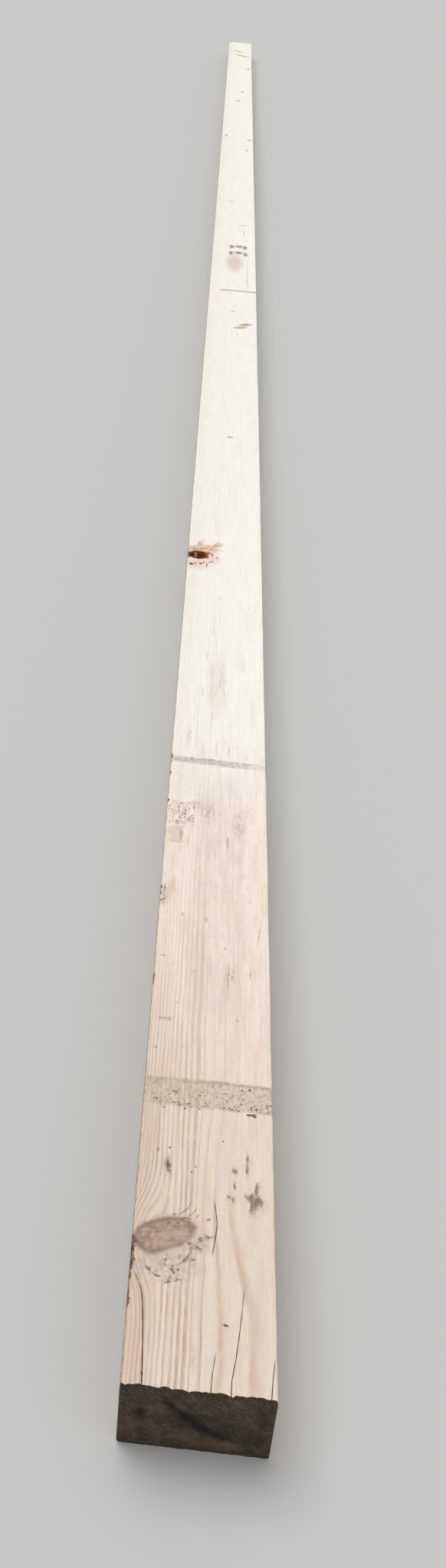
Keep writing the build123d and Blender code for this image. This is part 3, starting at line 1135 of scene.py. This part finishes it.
def knotty_wood(w):
    """The large sound knot, torn and dirty along its lower side."""
    x, y = w.x, w.y
    # Below it the ground is torn: greyed partly with painted shade, with painted shade in soft pits
    # and painted highlights on the lifted fibres
    torn = w.times(w.marks(KNOT_SHADE, w.coarse), w.on_top)
    pits = w.noise(2.8, 4, 0.62, (0.9, 1.1, 1), (3, 3, 3), 0.4)
    w.coat(torn, 0.64, (212, 193, 180))
    w.coat_grains(torn, pits, (0.48, 0.7, 0.6, (172, 153, 140)), (0.47, 0.32, 0.45, (240, 229, 219)))
    # Painted shade lies in its crevices, thickest along the lower edge of the knot, with painted
    # highlights between
    ground = w.times(w.marks(TORN_EDGE, w.coarse), w.on_top)
    w.coat_grains(
        ground,
        w.noise(2.1, 3, 0.56, (0.9, 1.3, 1), (8, 3, 1)),
        (0.46, 0.62, 0.55, (164, 144, 130)),
        (0.54, 0.7, 0.62, (118, 98, 84)),
        (0.45, 0.36, 0.44, (240, 228, 216)),
    )
    knot = w.use(BRANCH, **KNOT)
    bruise = w.use(MARK, Place=w.fine, **KNOT_BRUISE)["Reach"]
    sunk = w.times(w.minus(THICKNESS, w.z), 0.9)
    blunt = w.plus(w.fit(bruise, 8.5, -8.5), sunk)
    edge = w.math("SMOOTH_MIN", knot["Edge Distance"], blunt, 1.5)
    started = w.rise(knot["Along"], -46, -40)
    inside = w.times(w.fall(edge, -1.5, 1), started)
    # Round it the wood is greyed in a soft collar, widest at its right end
    from_edge = w.math("DIVIDE", edge, w.rise(x, -26, -6, 2.6, 5.5))
    w.coat(w.times(w.fall(from_edge, -0.1, 1), started), 0.62, (208, 186, 173))
    mottled = w.noise(4.6, 4, 0.62, (1.1, 1, 1), (2, 2, 2), 0.4)
    heart = w.mix(w.rise(mottled, 0.36, 0.64), (160, 133, 116), (195, 168, 149))
    heart = w.lay(heart, knot["Rings"], 0.1, (150, 122, 105))
    heart = w.lay(heart, w.rise(edge, -4.4, -0.6), w.rise(x, -30, -8, 0.72, 0.4), (138, 118, 108))
    brown_side = w.times(w.rise(edge, -4, -0.8), w.rise(y, 90, 99))
    heart = w.lay(heart, brown_side, 0.6, (138, 106, 80))
    heart = w.lay(heart, w.marks(KNOT_GLOW, w.fine), 0.4, (212, 184, 166))
    heart = w.lay(heart, w.marks(KNOT_CHECKS, w.fine), 0.3, (134, 108, 93))
    w.wood = w.mix(inside, w.wood, heart)
    dirt = w.crumbled(w.marks(TORN_DIRT, w.coarse), 1.3, 0.9, 0.3, 1)
    w.coat_top(dirt, 0.7, (98, 82, 70))
    w.coat_top(w.crumbled(w.marks(KNOT_TICKS), 0.9, 0.7, 0.25, 0.95), 0.6, (112, 80, 58))


def dead_knot(w):
    """The dark broken knot at the left arris and the stained wood round it."""
    x, y, z = w.x, w.y, w.z
    # Its fibres sweep up to the right, beyond the knot
    sideways = w.fit(y, -0.45, w.times(x, 0.9))
    swept = w.combine(sideways, w.fit(x, 0.45, w.times(y, 0.9)), z)
    fan = w.times(w.marks(DEAD_KNOT_FAN, w.coarse), w.on_top)
    fan_streaks = w.noise(2, 3, 0.6, (0.8, 5, 1), (1, 5, 1), place=swept)
    w.coat(fan, 0.78, (222, 188, 150))
    w.coat_grains(fan, fan_streaks, (0.4, 0.62, 0.66, (176, 132, 96)))
    w.coat_top(w.marks(DEAD_KNOT_BLUSH, w.coarse), 0.62, (236, 196, 176))
    spots = w.crumbled(w.marks(DEAD_KNOT_SPOTS, w.fine), 1.6, 0.9, 0.3, 1.1)
    w.coat_top(spots, 0.95, (96, 54, 26))
    knot = w.use(BRANCH, **DEAD_KNOT)
    started = w.times(w.rise(knot["Along"], -40, -30), w.rise(z, 12, 32, 0.25, 1))
    tail = w.times(w.marks(DEAD_KNOT_TAIL, w.fine), w.on_top)
    inside = w.math("MAXIMUM", w.times(knot["Inside"], started), tail)
    bark = w.mix(w.noise(2.6, 4, 0.7, (2.2, 1, 1), (7, 7, 7)), (104, 56, 30), (186, 120, 78))
    bark = w.lay(bark, w.rise(x, -26, -17), 0.6, (178, 114, 76))
    bark = w.lay(bark, knot["Rings"], 0.1, (60, 32, 18))
    bark = w.lay(bark, w.marks(DEAD_KNOT_CORE, w.fine), 0.45, (74, 38, 20))
    w.wood = w.mix(inside, w.wood, bark)


def bark_edge(w):
    """Reddish bark left along the torn left arris, and a thin brown line of painted shade on the rest
    of it.
    """
    x, y, z = w.split(w.fine)
    torn = w.noise(3.6, 3, 0.66, (1, 1.6, 1.4), (2, 6, 1))
    reach = w.times(w.within(y, 56, 89, 5), w.rise(torn, 0.32, 0.66, 0.3, 2.5))
    below = w.times(w.within(y, 36, 62, 6), w.rise(torn, 0.42, 0.66, 0, 1.5))
    # All along the arris a thin brown line is painted as painted shade
    arris_line_painted_shade = w.rise(w.noise(9, 4, 0.6, (1, 1, 1), (3, 2, 2)), 0.4, 0.64, 0.1, 0.75)
    reach = w.math("MAXIMUM", w.math("MAXIMUM", reach, below), arris_line_painted_shade)
    depth = w.minus(w.plus(x, WIDTH / 2), reach)
    mask = w.times(w.rise(depth, 0.5, -0.2), w.rise(z, THICKNESS - 8, THICKNESS - 2))
    wild = w.math("MAXIMUM", w.within(y, 36, 89, 5), 0.4)
    shade = w.noise(1.5, 3, 0.66, (1, 1.8, 1.2), (5, 1, 7))
    bark = w.mix(w.rise(shade, 0.36, 0.62), (66, 42, 34), (138, 88, 64))
    w.coat(mask, w.times(wild, 0.85), bark)


def speckled_patch(w):
    """A patch of black mould specks beside the left arris, and the grey film below it."""
    x, y = w.split(w.coarse)[:2]
    patch = w.times(w.within(x, -37, -15.5, 1.5), w.within(y, 454, 488, 4))
    drawn_out = w.vector("MULTIPLY", w.place, (1, 0.55, 1))
    specks = w.use(SPECKS, Place=drawn_out, Spacing=1.3, Size=0.5, Share=0.72)["Mask"]
    large = w.use(SPECKS, Place=drawn_out, Spacing=2.4, Size=0.3, Share=0.4)["Mask"]
    clusters = w.rise(w.noise(3.6, 3, 0.6, (0.7, 2.6, 1), (11, 3, 0)), 0.41, 0.55)
    specks = w.math("MAXIMUM", w.times(specks, clusters), w.times(large, 0.8))
    crumbs = w.rise(w.noise(0.7, 3, 0.6, (0.8, 1.6, 1), (7, 3, 3)), 0.36, 0.56)
    mask = w.times(w.times(patch, specks), w.times(crumbs, w.on_top))
    film = w.times(w.within(x, -36, -23, 2), w.within(y, 433, 456, 3))
    w.coat_top(film, 0.34, (186, 174, 146))
    w.coat_top(w.times(patch, clusters), 0.3, (186, 172, 166))
    w.coat(mask, 0.85, (64, 56, 52))


def far_marks(w):
    """Faded knots and stains on the far part of the plank."""
    w.coat_top(w.marks(FAR_KNOT, w.coarse), 0.82, (190, 154, 116))
    w.coat_top(w.marks(FAR_SMEAR, w.coarse), 0.6, (212, 180, 162))
    w.coat_top(w.marks(FAR_BLOTS, w.coarse), 0.86, (124, 108, 98))
    x, y = w.split(w.coarse)[:2]
    line = w.times(w.within(y, 1919, 1932, 5), w.rise(x, -24, -16))
    w.coat_top(line, 0.62, (162, 134, 106))
    w.coat_top(w.marks(FAR_TAIL, w.coarse), 0.66, (158, 128, 102))


def old_blemishes(w):
    """Stains, specks, pitch and chips of the long top face."""
    faded = w.times(w.rise(w.y, 520, 900, 1, 0.75), w.on_top)
    smudged = w.times(w.marks(SMUDGES, w.coarse), faded)
    soft = w.noise(2.4, 4, 0.66, (0.7, 2.2, 1), (5, 9, 2))
    w.coat_grains(smudged, soft, (0.34, 0.66, 0.5, (160, 141, 124)))
    rubbed = w.crumbled(w.marks(STREAKED_STAINS, w.coarse), 1.7, 1.3, 0.3, 1.15, (0.5, 3.4, 1))
    w.coat_top(rubbed, 0.82, (100, 86, 75))
    tracing = w.rise(w.y, 280, 640, 0.55, 0.26)
    for spots, source, grain, eaten, low, high, strength, tint in (
        (PINK_FLUSHES, w.coarse, 3, 0.8, 0.3, 1.1, 0.3, (238, 200, 182)),
        (TAN_SMEARS, w.coarse, 2.4, 0.9, 0.3, 1.1, 0.5, (224, 190, 156)),
        (SOFT_TRACES, w.fine, 2, 0.7, 0.2, 1.1, tracing, (152, 128, 106)),
        (GREY_STAINS, w.fine, 1.6, 1.05, 0.3, 1.1, 0.78, (112, 93, 77)),
        (BROWN_MARKS, w.fine, 1.3, 1, 0.25, 0.9, 0.82, (104, 70, 50)),
        (DARK_SPECKS, w.place, 0.7, 0.7, 0.2, 0.85, 0.84, (60, 48, 40)),
    ):
        mask = w.crumbled(w.marks(spots, source), grain, eaten, low, high)
        w.coat(w.times(mask, faded), strength, tint)


def red_chip(w):
    """A sliver of bark pressed in beside the first strip with a painted highlight on its upper edge,
    raised pale splinters and the painted shadows beside two of them.
    """
    chip = w.crumbled(w.marks(RED_CHIP), 1.2, 0.6, 0.3, 0.6)
    bark = w.mix(w.rise(w.noise(0.9, 2, 0.6), 0.36, 0.6), (82, 44, 35), (138, 88, 68))
    w.coat_top(chip, 0.9, bark)
    # Painted shadows of two splinters
    w.coat_top(w.marks(CHIP_SHADE, w.fine), 0.8, (110, 84, 66))
    # Pale splinters, and a painted highlight on the upper edge of the bark sliver
    w.coat_top(w.marks(CHIP_PALE_AND_HIGHLIGHT, w.fine), 0.75, (248, 238, 220))


def make_sawn_wood():
    """Pale sawn softwood: rings, knots, saw marks, stains and dents of the long faces."""
    w = Painting("sawn softwood")
    w.find_top()
    rings = w.use(GROWTH_RINGS)
    fibres = w.use(FIBRES)
    ridges = plain_wood(w, rings, fibres, w.use(SAW_MARKS))
    greyed_middle(w)
    dirty_bands(w)
    knotty_wood(w)
    dead_knot(w)
    bark_edge(w)
    speckled_patch(w)
    far_marks(w)
    old_blemishes(w)
    red_chip(w)
    # A dark line is painted along every split
    w.coat_top(dark_split_lines(w), 0.6, (84, 62, 50))
    torn_ground = w.marks(((-14, 74, 18, 12, 0, 0.35),))
    lumps = w.noise(2, 3, 0.6, (1, 1.4, 1), (9, 1, 1))
    height = w.times(ridges, w.rise(w.y, 240, 420, 0.06, 0.22))
    height = w.fit(fibres["Hairs"], 0.6, height)
    height = w.fit(rings["Latewood"], w.rise(w.y, 100, 400, 0.55, 0.25), height)
    height = w.fit(w.times(torn_ground, lumps), 2.4, height)
    # Only the top face has a slight sheen
    rough = w.plus(w.rise(fibres["Hairs"], 0.3, 0.7, 0.62, 0.8), 0.2)
    return w.finish(w.fit(w.on_top, -0.2, rough), height, 0.3)


def make_end_grain():
    """Weathered end grain with its ring arcs, its dark tone partly weathering and partly painted
    shade of the near end.
    """
    w = Painting("weathered end grain with painted shade")
    moved_x = w.plus(w.x, w.sway(4, 1.6, (1, 1, 1), (3, 0, 8)))
    moved_z = w.plus(w.z, w.sway(4, 1.6, (1, 1, 1), (6, 2, 1)))
    face = w.combine(moved_x, moved_z, 0)
    rings = w.use(GROWTH_RINGS)
    # Fibres broken along the rings, which run down to the right
    along_rings = w.combine(w.plus(w.x, w.z), w.times(w.minus(w.x, w.z), 0.28), w.y)
    fibres = w.noise(1.5, 3, 0.7, (1, 1, 1), (3, 3, 3), place=along_rings)
    dirt = w.noise(7, 4, 0.62, (1, 1, 1), (1, 8, 3))
    grain = w.noise(1, 3, 0.72, (0.8, 1, 1.5), (5, 1, 2))
    # The base tone is dark brown: weathering, and painted shade of the near end, which faces away
    # from the light
    w.wood = w.mix(w.rise(dirt, 0.36, 0.64), (76, 66, 56), (98, 87, 74))
    w.coat(rings["Latewood"], 0.3, (64, 50, 42))
    w.coat(w.rise(fibres, 0.42, 0.64), 0.5, (50, 42, 36))
    w.coat(w.rise(fibres, 0.5, 0.3), 0.35, (122, 108, 92))
    w.coat(w.rise(grain, 0.42, 0.64), 0.45, (50, 42, 36))
    w.coat(w.rise(grain, 0.44, 0.3), 0.3, (132, 116, 98))
    w.coat(w.marks(END_WARM_PATCHES, face), 0.35, (106, 72, 58))
    w.coat(w.marks(END_PALE_PATCHES, face), 0.45, (116, 106, 92))
    w.coat(w.marks(END_SHADOWS, face), 0.6, (42, 39, 36))
    w.coat(w.marks(END_STREAK, face), 0.86, (27, 25, 24))
    top_rim = w.rise(moved_z, THICKNESS - 2.6, THICKNESS - 0.8)
    w.coat(w.times(top_rim, w.rise(dirt, 0.3, 0.6, 0.4, 1)), 0.6, (96, 56, 44))
    # The lowest few millimetres darken to a bluish grey
    w.coat(w.fall(moved_z, 0.4, 4), 0.5, (50, 50, 54))
    return w.finish(0.88, w.fit(rings["Latewood"], 0.35, grain), 0.8)


# The map for the wood's colours: the long faces rolled out in five strips side by side, the near ones
# at a larger scale, and the two ends above them. Each strip has the stretch of the plank it holds,
# and its left edge and width on the map.
MAP_NAME = "OFBake"
MAP_STRIPS = (
    (0.0, 400.0, 0.003, 0.291),
    (400.0, 900.0, 0.299, 0.231),
    (900.0, 1700.0, 0.535, 0.181),
    (1700.0, 3100.0, 0.721, 0.145),
    (3100.0, 5100.0, 0.871, 0.126),
)
MAP_STRIP_HEIGHT = 0.85
# The share of a strip's height kept free at each end, for faces that reach past it
MAP_SPARE = 0.05
MAP_GIRTH = 2 * (WIDTH + THICKNESS)
MAP_END_SCALE = 0.0029
MAP_END_BOTTOM = 0.858
MAP_NEAR_END_LEFT = 0.01
MAP_FAR_END_LEFT = 0.26


def end_spot(across, along, up):
    """Where a place on one of the two ends lies on the map."""
    left = MAP_NEAR_END_LEFT if along < LENGTH_FROM_LEFT / 2 else MAP_FAR_END_LEFT
    return left + MAP_END_SCALE * (across + WIDTH / 2), MAP_END_BOTTOM + MAP_END_SCALE * up


def strip_spot(strip, side, across, along, up):
    """Where a place on a long face lies on the map. The sides follow round from the top face."""
    begin, end, left, width = strip
    round_the_plank = (
        across + WIDTH / 2,
        WIDTH + THICKNESS - up,
        1.5 * WIDTH + THICKNESS - across,
        2 * WIDTH + THICKNESS + up,
    )
    part = (along - begin) / (end - begin)
    return (
        left + width * round_the_plank[side] / MAP_GIRTH,
        MAP_STRIP_HEIGHT * (MAP_SPARE + (1 - 2 * MAP_SPARE) * part),
    )


def roll_out(bar):
    """Lays every face out on the map, each long one with the side that it is nearest to."""
    mesh = bar.data
    while mesh.uv_layers:
        mesh.uv_layers.remove(mesh.uv_layers[0])
    layout = mesh.uv_layers.new(name=MAP_NAME)
    for face in mesh.polygons:
        across, along, up = place_of(face.center)
        depths = (THICKNESS - up, WIDTH / 2 - across, up, across + WIDTH / 2)
        side = depths.index(min(depths))
        strip = next(row for row in MAP_STRIPS if along < row[1])
        on_end = face.material_index == 1
        for corner in face.loop_indices:
            place = place_of(mesh.vertices[mesh.loops[corner].vertex_index].co)
            spot = end_spot(*place) if on_end else strip_spot(strip, side, *place)
            layout.uv[corner].vector = spot


# A face belongs to an end when it lies this close to it and faces this much along the plank
NEAR_END_REACH = 3.5
FAR_END_REACH = 4.0
END_FACING = 0.75

plank = saw_blank()
rule_surface(plank)
wear_surface(plank)
cut_openings(plank)
finish_plank(plank)
plank.data.materials.append(make_sawn_wood())
plank.data.materials.append(make_end_grain())
for face in plank.data.polygons:
    across, along, up = place_of(face.center)
    on_near_end = from_near_end(across, along) < NEAR_END_REACH and face.normal.y < -END_FACING
    on_far_end = along > LENGTH_FROM_LEFT - FAR_END_REACH and face.normal.y > END_FACING
    face.material_index = 1 if on_near_end or on_far_end else 0
roll_out(plank)

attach(plank, "root")
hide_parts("plank")

# Floor, light and camera

FLOOR_SIZE = 60
FLOOR_MIDDLE = (0, 10, 0)
SKY_STRENGTH = 0.62
SUN_STRENGTH = 1.25
SUN_SPREAD = math.radians(40)
SUN_TILT = (math.radians(-22), math.radians(-18), 0)

start_fresh()
bpy.ops.mesh.primitive_plane_add(size=FLOOR_SIZE, location=FLOOR_MIDDLE)
floor = bpy.context.object
floor.name = "studio_floor"
floor_material = bpy.data.materials.new("pale floor")
floor_material.use_nodes = True
floor_surface = floor_material.node_tree.nodes["Principled BSDF"]
floor_surface.inputs["Base Color"].default_value = colour(202, 202, 200)
floor_surface.inputs["Roughness"].default_value = 0.9
floor.data.materials.append(floor_material)

world = bpy.data.worlds.new("soft studio")
world.use_nodes = True
sky = world.node_tree.nodes["Background"].inputs
sky["Color"].default_value = (1, 1, 1, 1)
sky["Strength"].default_value = SKY_STRENGTH
bpy.context.scene.world = world

key = bpy.data.lights.new("soft_key", "SUN")
key.energy = SUN_STRENGTH
key.angle = SUN_SPREAD
key_lamp = bpy.data.objects.new("soft_key", key)
bpy.context.scene.collection.objects.link(key_lamp)
key_lamp.rotation_euler = SUN_TILT

# The camera stood just behind the near end, held over the plank and tipped down
CAMERA_ACROSS = -32.68
CAMERA_ALONG = -397.87
CAMERA_UP = 657.43
CAMERA_PITCH = 0.589748
CAMERA_ROLL = 0.097343
CAMERA_YAW = -0.040298
FOCAL_LENGTH = 32.684

level_right = Vector((math.cos(CAMERA_YAW), math.sin(CAMERA_YAW), 0))
forward = Vector(
    (
        -math.sin(CAMERA_YAW) * math.cos(CAMERA_PITCH),
        math.cos(CAMERA_YAW) * math.cos(CAMERA_PITCH),
        -math.sin(CAMERA_PITCH),
    )
)
level_up = level_right.cross(forward)
right = level_right * math.cos(CAMERA_ROLL) + level_up * math.sin(CAMERA_ROLL)
up = level_up * math.cos(CAMERA_ROLL) - level_right * math.sin(CAMERA_ROLL)
camera = bpy.data.objects.new("camera", bpy.data.cameras.new("camera"))
bpy.context.scene.collection.objects.link(camera)
camera.matrix_world = Matrix.Translation(at(CAMERA_ACROSS, CAMERA_ALONG, CAMERA_UP)) @ Matrix(
    (right, up, -forward)
).transposed().to_4x4()
camera.data.sensor_width = 36
camera.data.lens = FOCAL_LENGTH
camera.data.clip_start = 0.02
camera.data.clip_end = 100
bpy.context.scene.camera = camera
bpy.context.scene.view_settings.view_transform = "Standard"
